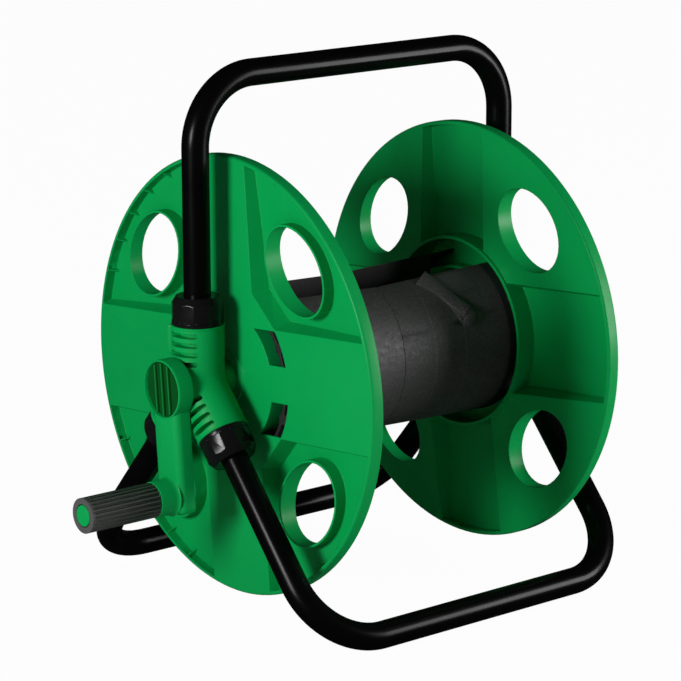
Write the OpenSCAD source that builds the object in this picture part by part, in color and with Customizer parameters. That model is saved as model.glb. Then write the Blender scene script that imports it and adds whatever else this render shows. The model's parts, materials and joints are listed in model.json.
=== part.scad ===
// Hose reel on a tube frame: two spoked plastic flanges and a drum turn in two three-way brackets.
// X runs along the axle from the crank side (-X) to the water inlet side (+X), Y to the back, Z up.
// The origin is on the floor, under the middle of the overall length.

/* [Frame] */
// Distance between the centre planes of the two side brackets
frame_w = 280; // [250:1:340]
// Height of the axle above the floor
axle_h = 168; // [166:1:220]
// Height of the handle bar's centre above the axle
handle_rise = 211.5; // [190:1:260]
// Distance between the centres of the two foot bars
foot_spread = 275.5; // [240:1:340]
// Outer diameter of the steel tube
tube_d = 19; // [16:0.5:22]
// Wall of the steel tube
tube_wall = 1.5; // [1:0.1:2.5]
// Bend radius of the handle tube, at its centre line
handle_bend_r = 48; // [30:1:60]
// Bend radius of the foot tubes, at their centre line
foot_bend_r = 50; // [30:1:60]

/* [Brackets] */
// Outer diameter of a bracket's three sockets
socket_d = 37; // [34:0.5:42]
// Length of a socket, from the axle
socket_len = 42; // [36:1:56]
// Distance from the axle to a tube's end in its socket
tube_seat = 18; // [17:0.5:24]
// How much less than a socket's the barrel's radius is
barrel_inset = 0.6; // [0.4:0.1:1]
// Reach of the barrel toward the reel, from the bracket's centre plane
barrel_in = 10; // [8:0.5:16]
// Outer diameter of the collar on a socket
collar_d = 36; // [32:0.5:40]
// Length of a collar
collar_len = 20; // [14:1:26]
// Length of a collar's sloping shoulder
collar_shoulder = 5; // [2:0.5:8]
// Number of grip slots in a socket
slot_count = 4; // [0:1:5]
// Distance between the middles of two grip slots
slot_pitch = 6.6; // [5:0.1:8]
// Width of a grip slot
slot_w = 3.6; // [1:0.1:4.5]
// Depth of a grip slot
slot_depth = 4; // [0.5:0.1:4.5]

/* [Flanges] */
// Diameter of a flange
flange_d = 312; // [262:1:320]
// Distance from a bracket's centre plane to the outer face of its flange
flange_gap = 26; // [24:0.5:40]
// Width of a flange's rim
rim_w = 10; // [7:0.5:12]
// Thickness of a flange's walls
flange_wall = 2.5; // [2:0.1:3.5]
// Inner depth of the flange's dish, from the rim to the ring round the drum
dish_depth = 5.5; // [3:0.5:10]
// Height of that ring above the dish
ring_lip = 2.5; // [1:0.5:5]
// Outer diameter of the ring round the drum's end
ring_d = 143; // [136:1:150]
// Width of the band that runs across the flange
wide_band_w = 76; // [60:1:84]
// Width of the band that runs up the flange
tall_band_w = 64; // [56:1:76]
// Distance from the axle to the slanted corners between the bands
corner_r = 66; // [65:0.5:70]
// Length of a flange's four large oval holes, along its edge
hole_long = 67.6; // [50:0.2:70]
// Width of a large hole
hole_short = 51.2; // [36:0.2:54]
// Distance from the flange's edge to a large hole's centre
hole_inset = 42.6; // [40:0.2:48]
// Thickness of the collar round a large hole
hole_rim = 1.8; // [1.2:0.1:3]
// Thickness of the flange's plate at the hub
hub_plate = 3; // [2.5:0.5:4]
// Diameter of the ring rib inside the drum's end
boss_d = 98; // [90:1:100]
// Height of that rib above the hub's plate
boss_h = 11; // [8:0.5:13]
// Outer diameter of the flange's neck round the axle
neck_d = 36; // [32:0.5:40]
// Height of that neck above the flange's face
neck_h = 1; // [0.5:0.1:3]
// Turn of the reel about its axle at rest
reel_turn = -4.7; // [-10:0.1:10]

/* [Drum] */
// Diameter of the drum at its ends
drum_end_d = 121; // [112:0.5:126]
// Diameter of the drum at its middle
drum_mid_d = 114; // [108:0.5:121]
// Wall of the drum
drum_wall = 2.8; // [2:0.1:4]
// Width of the hose channel in the drum
channel_w = 41; // [34:1:44]
// Height of the channel's floor above the axle
channel_floor = 27; // [26:0.5:30]
// Angle of the channel's middle from the reel's top, towards the front
channel_turn = 9; // [0:1:20]
// Length of the lip that joins the two halves of the drum
joint_lip = 8; // [5:1:14]
// Width of the hose ramp on the drum
ramp_w = 20.8; // [16:0.2:24]
// Height of the hose ramp above the drum
ramp_h = 5; // [3:0.5:8]

/* [Crank] */
// Distance from the axle to the grip's centre
crank_r = 75; // [65:1:95]
// Distance from the bracket's centre plane to the crank's outer face
crank_out = 32; // [31:0.5:36]
// Outer diameter of the crank's hub
crank_hub_d = 41.5; // [41.5:0.5:46]
// Outer diameter of the crank arm's grip end
crank_end_d = 26; // [22:0.5:32]
// Diameter of the crank's spindle
spindle_d = 22; // [20:0.5:24]
// Width across the flats of the spindle's square end
square_w = 14; // [12:0.5:16]
// Diameter of the dial cap on the hub
dial_d = 38.5; // [30:0.5:38.5]
// Length of the grip
grip_len = 71; // [55:1:90]
// Diameter of the grip
grip_d = 24.6; // [21:0.2:30]
// Diameter of the grip's pin
grip_pin_d = 9; // [7:0.5:11]
// Diameter of the pin's head
pin_head_d = 15; // [12.5:0.5:17]
// Number of grooves along the grip
grip_grooves = 24; // [12:1:28]

/* [Water inlet] */
// Diameter of the fixed axle on the inlet side
axle_d = 22; // [20:0.5:23]
// Bore of the water way in the axle
water_d = 9; // [7:0.5:9.5]
// Length of the hose spigot outside the bracket
spigot_len = 18; // [14:1:26]
// Diameter of the hose spigots
spigot_d = 15.8; // [13:0.1:18]
// Distance from the bracket's centre plane to the axle's inner end
axle_in = 74; // [66:1:78]

/* [Fits] */
// Running clearance of a shaft, on the radius
run_clear = 0.05; // [0.02:0.01:0.09]
// Running clearance between end faces
end_clear = 0.3; // [0.2:0.05:0.6]
// Loose clearance between fixed pieces, on the radius
loose_clear = 0.15; // [0.1:0.05:0.3]
// Diameter of the crank's screw
screw_d = 6; // [5:0.5:8]
// Diameter of the small screws
small_screw_d = 4; // [3:0.5:5]

/* [Hidden] */
$fn = 72;
eps = 0.01;

// Frame
side_x = frame_w / 2;
tube_r = tube_d / 2;
foot_drop = axle_h - tube_r;
foot_len = norm([foot_spread / 2, foot_drop]);
foot_angle = atan2(foot_spread / 2, foot_drop);
socket_r = socket_d / 2;
barrel_out = socket_r + 0.6;
barrel_r = socket_r - barrel_inset;
bush_wall = 2.5;
bush_lip = 1.5;
bush_r = spindle_d / 2 + run_clear + bush_wall;
slot_sweep = 75;
tab_turn = 138;
tab_len = 21;
tab_w = 3;
tab_h = 2.5;
slot_from_end = 5.5;
tube_screw_at = (tube_seat + socket_len) / 2;
tube_screw_head_d = small_screw_d * 1.9;
tube_screw_head_h = small_screw_d * 0.55;
collar_flats = 12;
collar_flat_depth = 0.5;
collar_lip = 3;

// Flange heights, measured along the axle from the middle of the drum
face_u = side_x - flange_gap;
rim_in_u = face_u - rim_w;
dish_u = rim_in_u - dish_depth;
ring_u = dish_u - ring_lip;
flange_r = flange_d / 2;
ring_r = ring_d / 2;
rim_wall = 3;
rim_in_r = flange_r - rim_wall;
rim_round = 2;
rim_back = 1;
draft = 0.33;
hub_in_u = face_u - hub_plate;
boss_in_u = hub_in_u - boss_h;
neck_end_u = face_u + neck_h;
hole_pitch_r = flange_r - hole_inset;
oval_steps = 40;
window_low = 13;
window_high = 37;
window_out_r = ring_r - 5;
window_edge = 1.2;
latch_w = 10;
latch_y = (window_low + window_high) / 2;
tongue_x = ring_r - 12;
tongue_out_u = face_u - 6;
tongue_t = 3;
gusset_w = 1.2;
gusset_h = 5;
gusset_step = 10.2;
gusset_pairs = 2;

// Drum
drum_end_u = hub_in_u;
channel_end_u = boss_in_u - 12;
frame_gap = 0.3;
frame_lip = 1.6;
lip_wall = 2;
lip_clear = 0.2;
lip_root = 4;
hook_x = boss_d / 2 + 2;
hook_t = 3.5;
hook_w = 7;
hook_h = 2.8;
hook_foot = 8;
hook_gap = 0.2;
hook_grip = 2.4;

// Crank
crank_face_u = side_x + crank_out;
crank_back_u = side_x + barrel_out + bush_lip + end_clear;
square_end_u = boss_in_u + 4;
arm_set_back = 1.5;
grip_boss_d = crank_end_d + 1.2;
dial_depth = 4.5;
dial_plate = 2;
head_room = 4.5;
screw_seat_u = crank_face_u - dial_depth - head_room;
screw_head_d = screw_d * 1.8;
screw_head_h = 4;
nut_h = screw_d * 0.8;
nut_w = screw_d * 1.65;
ridge_step = 7.3;
ridge_w = 1.4;
groove_r = 1.3;
grip_land = 2;
grip_in_u = crank_face_u + end_clear;
grip_out_u = grip_in_u + grip_len;
pin_out_u = grip_out_u + 0.5;
pin_head_h = 3;
pin_foot_h = 6;

// Inlet
axle_head_d = 32;
axle_head_h = 6;
inlet_end_u = side_x + barrel_out + axle_head_h + spigot_len;
axle_in_u = side_x - axle_in;
clip_w = 1.6;
clip_gap = 0.6;
clip_u = boss_in_u - clip_gap - clip_w;
clip_d = 29;
groove_cut = 1.5;
elbow_d = 34;
elbow_u = axle_in_u - 10;
ramp_start = [elbow_u - 16, 119.5];
ramp_end = [elbow_u + 7, 157.5];
ramp_step = 0.1;
elbow_out_u = clip_u - 2;
socket_bore_r = axle_d / 2 + 0.4;
seal_r = 1.3;
seal_at = [axle_in_u + 9, axle_in_u + 17];
riser_d = 18;
riser_bore = 9;
chamber_d = 12;
outlet_bore = 8;
spigot_h = channel_floor + spigot_d / 2 + 2.5;
outlet_len = 22;
plate_w = 36;
plate_l = 26;
plate_t = 3;
elbow_screw_x = 13;
outlet_root = 11;
outlet_step = 0.7;
spigot_land = 0.4;
spigot_groove = 1.6;

// The whole is shifted so that its overall length is centred on the origin
origin_x = (pin_out_u - inlet_end_u) / 2;

// Sets a piece that is drawn along Z, with +Z outwards, on the inlet side (1) or the crank side (-1)
module on_axle(side = 1) {
  translate([origin_x, 0, axle_h])
    mirror([side < 0 ? 1 : 0, 0, 0])
      rotate([90, 0, 90])
        children();
}

// The same for what turns with the reel
module on_reel(side = 1) {
  translate([origin_x, 0, axle_h])
    rotate([reel_turn, 0, 0])
      mirror([side < 0 ? 1 : 0, 0, 0])
        rotate([90, 0, 90])
          children();
}

// Turns a piece that points up from the axle along one of the bracket's three arms
module along_arm(angle) {
  translate([origin_x, 0, axle_h])
    rotate([angle, 0, 0])
      children();
}

arm_angles = [0, 180 - foot_angle, 180 + foot_angle];
slot_starts = [158, 134, 158];

// Turns what is drawn upwards to the middle of the hose channel
module at_channel() {
  rotate([0, 0, channel_turn])
    children();
}

module ring(r_out, r_in, from, to) {
  translate([0, 0, from])
    difference() {
      cylinder(h = to - from, r = r_out);
      translate([0, 0, -1])
        cylinder(h = to - from + 2, r = r_in);
    }
}

// A bent tube that points up: two legs and a top bar, or its bore
module u_shape(rise, bend_r, r, start) {
  leg = rise - bend_r - start;
  bar = frame_w - 2 * bend_r;
  for (side = [-1, 1]) {
    translate([side * side_x, 0, start])
      cylinder(h = leg, r = r);
    translate([side * (side_x - bend_r), 0, rise - bend_r])
      rotate([90, 0, 0])
        rotate([0, 0, side > 0 ? 0 : 90])
          rotate_extrude(angle = 90)
            translate([bend_r, 0])
              circle(r = r);
  }
  translate([-bar / 2, 0, rise])
    rotate([0, 90, 0])
      cylinder(h = bar, r = r);
}

module bent_tube(rise, bend_r) {
  color("#151515")
    difference() {
      u_shape(rise, bend_r, tube_r, tube_seat);
      u_shape(rise, bend_r, tube_r - tube_wall, tube_seat - 1);
      for (side = [-1, 1])
        translate([side * side_x, 0, tube_screw_at])
          rotate([0, -90 * side, 0])
            cylinder(h = tube_r + 1, d = small_screw_d);
    }
}

module handle_tube() {
  along_arm(arm_angles[0])
    bent_tube(handle_rise, handle_bend_r);
}

module front_foot_tube() {
  along_arm(arm_angles[1])
    bent_tube(foot_len, foot_bend_r);
}

module rear_foot_tube() {
  along_arm(arm_angles[2])
    bent_tube(foot_len, foot_bend_r);
}

// Grip slots round the outer face of a socket; start is the angle where they begin on the crank side
module grip_slots(side, start) {
  for (i = [0 : slot_count - 1])
    translate([0, 0, socket_len - slot_from_end - i * slot_pitch])
      rotate([0, 0, side < 0 ? start : 180 - slot_sweep - start])
        rotate_extrude(angle = slot_sweep)
          translate([socket_r - slot_depth, -slot_w / 2])
            square([slot_depth + 1, slot_w]);
}

module bracket(side, bore_r) {
  color("#18a85c")
    difference() {
      union() {
        for (angle = arm_angles)
          along_arm(angle)
            translate([side * side_x, 0, 0])
              rotate([0, 0, 90])
                cylinder(h = socket_len, r = socket_r);
        on_axle(side)
          translate([0, 0, side_x - barrel_in])
            cylinder(h = barrel_in + barrel_out, r = barrel_r);
        along_arm(arm_angles[0])
          translate([side * side_x, 0, 0])
            rotate([0, 0, side < 0 ? tab_turn : 180 - tab_turn])
              translate([0, -tab_w / 2, socket_len - tab_len])
                cube([socket_r + tab_h, tab_w, tab_len - 1]);
      }
      for (i = [0 : 2])
        along_arm(arm_angles[i])
          translate([side * side_x, 0, 0]) {
            translate([0, 0, tube_seat])
              cylinder(h = socket_len, r = tube_r);
            translate([0, 0, tube_screw_at])
              rotate([0, -90 * side, 0])
                cylinder(h = socket_r + 1, d = small_screw_d);
            if (slot_count > 0)
              grip_slots(side, slot_starts[i]);
          }
      on_axle(side)
        translate([0, 0, side_x - barrel_out - 1])
          cylinder(h = 2 * barrel_out + 2, r = bore_r);
    }
}

module crank_side_bracket() {
  bracket(-1, bush_r);
}

module inlet_side_bracket() {
  bracket(1, axle_d / 2);
}

// A collar on a tube, pushed up to its socket
module socket_collar(side, angle) {
  color("#1b1b1d")
    along_arm(angle)
      translate([side * side_x, 0, socket_len])
        difference() {
          rotate_extrude()
            polygon([
              [tube_r, 0],
              [collar_d / 2, 0],
              [collar_d / 2, collar_len - collar_shoulder],
              [collar_d / 2 - collar_shoulder * 0.6, collar_len],
              [tube_r, collar_len]
            ]);
          for (i = [0 : collar_flats - 1])
            rotate([0, 0, i * 360 / collar_flats])
              translate([collar_d / 2 - collar_flat_depth, -collar_d, collar_lip])
                cube([collar_d, 2 * collar_d, collar_len]);
        }
}

module crank_handle_collar() {
  socket_collar(-1, arm_angles[0]);
}

module crank_front_collar() {
  socket_collar(-1, arm_angles[1]);
}

module crank_rear_collar() {
  socket_collar(-1, arm_angles[2]);
}

module inlet_handle_collar() {
  socket_collar(1, arm_angles[0]);
}

module inlet_front_collar() {
  socket_collar(1, arm_angles[1]);
}

module inlet_rear_collar() {
  socket_collar(1, arm_angles[2]);
}

// A screw that points down, with its head on the plane z = 0
module pan_screw(d, head_d, head_h, len, drive) {
  difference() {
    union() {
      cylinder(h = head_h, d = head_d);
      translate([0, 0, -len])
        cylinder(h = len + eps, d = d);
    }
    translate([-drive / 2, -drive / 2, head_h / 2])
      cube([drive, drive, head_h]);
  }
}

// Each tube is held in its socket by one screw, on the side that faces the flange
module tube_screws() {
  color("#8d9196")
    for (side = [-1, 1])
      for (angle = arm_angles)
        along_arm(angle)
          translate([side * (side_x - socket_r), 0, tube_screw_at])
            rotate([0, -90 * side, 0])
              pan_screw(small_screw_d, tube_screw_head_d, tube_screw_head_h,
                        socket_r - tube_r + tube_wall + 1.5, 1.6);
}

module crank_bush() {
  color("#e6e2d6")
    on_axle(-1)
      difference() {
        union() {
          translate([0, 0, side_x - barrel_in])
            cylinder(h = barrel_in + barrel_out, r = bush_r);
          translate([0, 0, side_x + barrel_out])
            cylinder(h = bush_lip, r = bush_r + 3);
        }
        translate([0, 0, side_x - barrel_in - 1])
          cylinder(h = barrel_in + barrel_out + bush_lip + 2, r = spindle_d / 2 + run_clear);
      }
}

// Outline of a hose spigot, from its root at 0: a land, a groove for the hose end's catch and a nose
module spigot_profile(len, bore) {
  polygon([
    [bore / 2, 0],
    [spigot_d / 2, 0],
    [spigot_d / 2, len * spigot_land],
    [spigot_d / 2 - spigot_groove, len * 0.46],
    [spigot_d / 2 - spigot_groove, len * 0.64],
    [spigot_d / 2 - 0.6, len * 0.7],
    [spigot_d / 2 - 0.6, len * 0.9],
    [spigot_d / 2 - 1.8, len],
    [bore / 2, len]
  ]);
}

module inlet_axle() {
  color("#1b1b1d")
    on_axle(1)
      difference() {
        union() {
          translate([0, 0, axle_in_u])
            cylinder(h = side_x + barrel_out - axle_in_u, d = axle_d);
          translate([0, 0, side_x + barrel_out])
            cylinder(h = axle_head_h, d = axle_head_d, $fn = 6);
          translate([0, 0, side_x + barrel_out + axle_head_h])
            rotate_extrude()
              spigot_profile(spigot_len, water_d);
        }
        translate([0, 0, axle_in_u - 1])
          cylinder(h = inlet_end_u - axle_in_u + 2, d = water_d);
        ring(axle_d / 2 + 1, axle_d / 2 - groove_cut, clip_u, clip_u + clip_w);
      }
}

module axle_clip() {
  color("#b9bcc0")
    on_axle(1)
      difference() {
        ring(clip_d / 2, axle_d / 2 - groove_cut, clip_u, clip_u + clip_w);
        translate([-3, -clip_d, clip_u - 1])
          cube([6, clip_d, clip_w + 2]);
      }
}

// A bar along Y, with its outer face at the flange's and its sides leaning outwards below it
module drafted_bar(half) {
  low = half + draft * (face_u - ring_u);
  rotate([90, 0, 0])
    linear_extrude(height = flange_d, center = true)
      polygon([
        [-low, ring_u],
        [low, ring_u],
        [half, face_u],
        [half, face_u + 1],
        [-half, face_u + 1],
        [-half, face_u]
      ]);
}

// The raised cross of the two bands, with its slanted corners
module cross_solid(grow = 0) {
  drafted_bar(tall_band_w / 2 + grow);
  rotate([0, 0, 90])
    drafted_bar(wide_band_w / 2 + grow);
  intersection() {
    rotate([0, 0, 45])
      drafted_bar(corner_r + grow);
    rotate([0, 0, -45])
      drafted_bar(corner_r + grow);
  }
}

// The flange turned from solid: the hub's plate, the ring, the dish filled up to the outer face and the rim
module flange_blank() {
  rotate_extrude()
    polygon(concat([
      [0, hub_in_u],
      [ring_r - flange_wall, hub_in_u],
      [ring_r - flange_wall, ring_u],
      [ring_r, ring_u],
      [ring_r, dish_u],
      [rim_in_r, rim_in_u],
      [flange_r - rim_back, rim_in_u],
      [flange_r, rim_in_u + rim_back]
    ], [
      for (a = [0 : 22.5 : 90])
        [flange_r - rim_round + rim_round * cos(a), face_u - rim_round + rim_round * sin(a)]
    ], [
      [0, face_u]
    ]));
}

// Hollows of the outer side, between the bands
module outer_pockets() {
  difference() {
    rotate_extrude()
      polygon([
        [corner_r - 1, dish_u + flange_wall],
        [ring_r, dish_u + flange_wall],
        [rim_in_r, rim_in_u + flange_wall],
        [rim_in_r, face_u + 1],
        [corner_r - 1, face_u + 1]
      ]);
    cross_solid();
  }
}

// Hollows of the inner side, inside the bands
module band_hollows() {
  intersection() {
    ring(rim_in_r, ring_r, ring_u - 1, face_u - flange_wall);
    cross_solid(-flange_wall);
  }
}

// Walls under the slanted corners, where these lie inside the ring
module corner_walls() {
  intersection() {
    ring(ring_r, corner_r - flange_wall - 1, dish_u, face_u);
    difference() {
      cross_solid();
      cross_solid(-flange_wall);
    }
  }
}

// An oval along the flange's edge
module oval(grow = 0) {
  polygon([
    for (i = [0 : oval_steps - 1])
      [(hole_short / 2 + grow) * cos(i * 360 / oval_steps),
       (hole_long / 2 + grow) * sin(i * 360 / oval_steps)]
  ]);
}

module hole_collars() {
  intersection() {
    rotate_extrude()
      polygon([
        [ring_r, dish_u],
        [rim_in_r, rim_in_u],
        [rim_in_r, face_u],
        [ring_r, face_u]
      ]);
    at_holes()
      translate([0, 0, dish_u])
        linear_extrude(height = face_u - dish_u)
          oval(hole_rim);
  }
}

module at_holes() {
  for (a = [45 : 90 : 315])
    rotate([0, 0, a])
      translate([hole_pitch_r, 0, 0])
        children();
}

// Repeats what is drawn in the first quarter at the four latches
module at_latches() {
  for (sx = [0, 1])
    for (sy = [0, 1])
      mirror([sx, 0, 0])
        mirror([0, sy, 0])
          children();
}

// Latch windows in the hub, in the space between the ring rib and the ring
module window_cuts() {
  intersection() {
    ring(window_out_r, boss_d / 2, hub_in_u - 1, face_u + 1);
    at_latches()
      translate([0, window_low, hub_in_u - 1])
        cube([ring_r, window_high - window_low, hub_plate + 2]);
    cross_solid(-window_edge);
  }
}

// Tongues behind the windows, which the drum's hooks hold
module window_tongues() {
  intersection() {
    cylinder(h = face_u, r = ring_r - flange_wall / 2);
    at_latches()
      translate([tongue_x, latch_y - latch_w / 2, tongue_out_u - tongue_t])
        cube([ring_r - tongue_x, latch_w, tongue_t]);
  }
}

// Frame on the hub that the end of the drum's channel stands against, cut to the ring rib's circle
module channel_frame() {
  wall_u = channel_end_u + frame_gap;
  intersection() {
    cylinder(h = hub_in_u + 1, r = boss_d / 2);
    at_channel()
      difference() {
        translate([-channel_w / 2 - drum_wall, channel_floor - drum_wall, wall_u])
          cube([channel_w + 2 * drum_wall, boss_d, hub_in_u + 1 - wall_u]);
        translate([-channel_w / 2 + frame_lip, channel_floor + frame_lip, wall_u - 1])
          cube([channel_w - 2 * frame_lip, boss_d, hub_in_u + 1 - wall_u]);
      }
  }
}

module rim_gussets() {
  foot_u = rim_in_u + flange_wall / 2;
  for (quarter = [45 : 90 : 315])
    for (i = [-gusset_pairs : gusset_pairs])
      rotate([0, 0, quarter + i * gusset_step])
        translate([rim_in_r - gusset_h, gusset_w / 2, 0])
          rotate([90, 0, 0])
            linear_extrude(height = gusset_w)
              polygon([
                [0, foot_u],
                [gusset_h + 1, foot_u],
                [gusset_h + 1, face_u - 1],
                [gusset_h - 1, face_u - 1]
              ]);
}

module flange_body() {
  difference() {
    union() {
      difference() {
        union() {
          flange_blank();
          corner_walls();
        }
        outer_pockets();
        band_hollows();
        window_cuts();
      }
      window_tongues();
      channel_frame();
      ring(boss_d / 2, boss_d / 2 - flange_wall, boss_in_u, hub_in_u + 1);
      translate([0, 0, boss_in_u])
        cylinder(h = neck_end_u - boss_in_u, d = neck_d);
      rim_gussets();
      hole_collars();
    }
    at_holes()
      translate([0, 0, dish_u - 1])
        linear_extrude(height = face_u - dish_u + 2)
          oval();
  }
}

module crank_side_flange() {
  color("#18a85c")
    on_reel(-1)
      difference() {
        flange_body();
        translate([-square_w / 2 - loose_clear, -square_w / 2 - loose_clear, square_end_u - 1])
          cube([square_w + 2 * loose_clear, square_w + 2 * loose_clear,
                neck_end_u - square_end_u + 2]);
        translate([0, 0, boss_in_u - 1])
          cylinder(h = neck_end_u - boss_in_u + 2, d = screw_d + 2 * loose_clear);
      }
}

module inlet_side_flange() {
  color("#18a85c")
    on_reel(1)
      difference() {
        flange_body();
        translate([0, 0, boss_in_u - 1])
          cylinder(h = neck_end_u - boss_in_u + 2, r = axle_d / 2 + run_clear + bush_wall);
      }
}

// Radius of the drum's outside at a height from its middle
function drum_r(u) = drum_mid_d / 2 + (drum_end_d - drum_mid_d) / 2 * u / drum_end_u;

module drum_solid(inset, from, to) {
  rotate_extrude()
    polygon([
      [0, from],
      [drum_r(from) - inset, from],
      [drum_r(to) - inset, to],
      [0, to]
    ]);
}

module channel_box(grow, from, to) {
  translate([-channel_w / 2 - grow, channel_floor - grow, from])
    cube([channel_w + 2 * grow, drum_end_d, to - from]);
}

// Hooks on the drum's end, which reach through the windows and over the tongues
module drum_hooks() {
  at_latches() {
    translate([hook_x, latch_y - hook_w / 2, drum_end_u - hook_foot])
      cube([hook_t, hook_w, tongue_out_u + hook_gap + hook_h - drum_end_u + hook_foot]);
    translate([hook_x, latch_y - hook_w / 2, tongue_out_u + hook_gap])
      cube([tongue_x + hook_grip - hook_x, hook_w, hook_h]);
  }
}

module drum_half() {
  difference() {
    union() {
      difference() {
        drum_solid(0, 0, drum_end_u);
        difference() {
          drum_solid(drum_wall, -1, drum_end_u + 1);
          at_channel()
            channel_box(drum_wall, -2, channel_end_u);
        }
      }
      drum_hooks();
    }
    at_channel()
      channel_box(0, -2, drum_end_u + 2);
  }
}

// Half-round cover over the hose's first bend, from the channel's edge down the front of the drum
module hose_ramp() {
  r = ramp_w / 2;
  axis_r = drum_r(ramp_end[0]) + ramp_h - r;
  a = [axis_r * cos(ramp_start[1]), axis_r * sin(ramp_start[1]), ramp_start[0]];
  b = [axis_r * cos(ramp_end[1]), axis_r * sin(ramp_end[1]), ramp_end[0]];
  d = b - a;
  difference() {
    union() {
      translate(a)
        rotate([0, acos(d[2] / norm(d)), atan2(d[1], d[0])])
          cylinder(h = norm(d), r = r);
      translate(b)
        sphere(r = r - ramp_step);
    }
    drum_solid(drum_wall, -1, drum_end_u + 1);
    at_channel()
      channel_box(0, -2, drum_end_u + 2);
  }
}

// Lip that centres one half of the drum in the other
module joint_ring() {
  r = drum_mid_d / 2 - drum_wall;
  difference() {
    union() {
      ring(r - lip_clear, r - lip_clear - lip_wall, -joint_lip, lip_root);
      ring(r + 1, r - lip_clear - lip_wall, 0, lip_root);
    }
    at_channel()
      channel_box(drum_wall + lip_clear, -joint_lip - 1, lip_root + 1);
  }
}

module crank_side_drum() {
  color("#2b2b2d")
    on_reel(-1)
      drum_half();
}

module inlet_side_drum() {
  color("#2b2b2d")
    on_reel(1)
      difference() {
        union() {
          drum_half();
          hose_ramp();
          joint_ring();
        }
        at_channel()
          translate([0, 0, elbow_u])
            rotate([-90, 0, 0]) {
              cylinder(h = channel_floor + 1, d = riser_d + 2 * loose_clear);
              for (x = [-elbow_screw_x, elbow_screw_x])
                translate([x, 0, 0])
                  cylinder(h = channel_floor + 1, d = small_screw_d);
            }
      }
}

module crank_arm() {
  arm_face_u = crank_face_u - arm_set_back;
  color("#18a85c")
    on_reel(-1)
      difference() {
        union() {
          translate([0, 0, crank_back_u]) {
            cylinder(h = crank_face_u - crank_back_u, d = crank_hub_d);
            translate([-crank_end_d / 2, -crank_r, 0])
              cube([crank_end_d, crank_r, arm_face_u - crank_back_u]);
          }
          translate([0, -crank_r, crank_back_u])
            cylinder(h = crank_face_u - crank_back_u, d = grip_boss_d);
          translate([0, 0, neck_end_u])
            cylinder(h = crank_back_u - neck_end_u + 1, d = spindle_d);
          translate([-square_w / 2, -square_w / 2, square_end_u])
            cube([square_w, square_w, neck_end_u - square_end_u + 1]);
        }
        translate([0, 0, crank_face_u - dial_depth])
          cylinder(h = dial_depth + 1, d = dial_d + 2 * loose_clear);
        translate([0, 0, screw_seat_u])
          cylinder(h = head_room + 1, d = screw_head_d + 2);
        translate([0, 0, square_end_u - 1])
          cylinder(h = screw_seat_u - square_end_u + 2, d = screw_d + 2 * loose_clear);
        translate([0, -crank_r, crank_face_u - pin_foot_h])
          cylinder(h = pin_foot_h + 1, d = grip_pin_d);
      }
}

// Cap over the crank's screw, with three upright ridges
module dial_cap() {
  color("#0b6b35")
    on_reel(-1)
      translate([0, 0, crank_face_u - dial_depth]) {
        cylinder(h = dial_plate, d = dial_d);
        intersection() {
          cylinder(h = dial_depth, d = dial_d - 2);
          for (i = [-1 : 1])
            translate([i * ridge_step - ridge_w / 2, -dial_d / 2, dial_plate - eps])
              cube([ridge_w, dial_d, dial_depth - dial_plate - 0.3]);
        }
      }
}

module crank_screw() {
  color("#8d9196")
    on_reel(-1)
      translate([0, 0, screw_seat_u])
        pan_screw(screw_d, screw_head_d, screw_head_h, screw_seat_u - boss_in_u + nut_h + 2, 3);
}

module crank_nut() {
  color("#8d9196")
    on_reel(-1)
      translate([0, 0, boss_in_u - nut_h])
        difference() {
          cylinder(h = nut_h, d = nut_w / cos(30), $fn = 6);
          translate([0, 0, -1])
            cylinder(h = nut_h + 2, d = screw_d);
        }
}

module grip_pin() {
  color("#18a85c")
    on_reel(-1)
      translate([0, -crank_r, 0]) {
        translate([0, 0, crank_face_u - pin_foot_h])
          cylinder(h = pin_out_u - pin_head_h - crank_face_u + pin_foot_h + 1, d = grip_pin_d);
        translate([0, 0, pin_out_u - pin_head_h])
          cylinder(h = pin_head_h, d = pin_head_d);
      }
}

module grip() {
  color("#38383a")
    on_reel(-1)
      translate([0, -crank_r, grip_in_u])
        difference() {
          cylinder(h = grip_len, d = grip_d);
          for (i = [0 : grip_grooves - 1])
            rotate([0, 0, i * 360 / grip_grooves])
              translate([grip_d / 2 + groove_r * 0.45, 0, grip_land])
                cylinder(h = grip_len - 2 * grip_land, r = groove_r, $fn = 24);
          translate([0, 0, -1])
            cylinder(h = grip_len + 2, d = grip_pin_d + 2 * run_clear);
          translate([0, 0, pin_out_u - pin_head_h - end_clear - grip_in_u])
            cylinder(h = grip_len, d = pin_head_d + 4 * end_clear);
        }
}

module hub_bush() {
  color("#e6e2d6")
    on_reel(1)
      ring(axle_d / 2 + run_clear + bush_wall, axle_d / 2 + run_clear, boss_in_u, neck_end_u);
}

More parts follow.
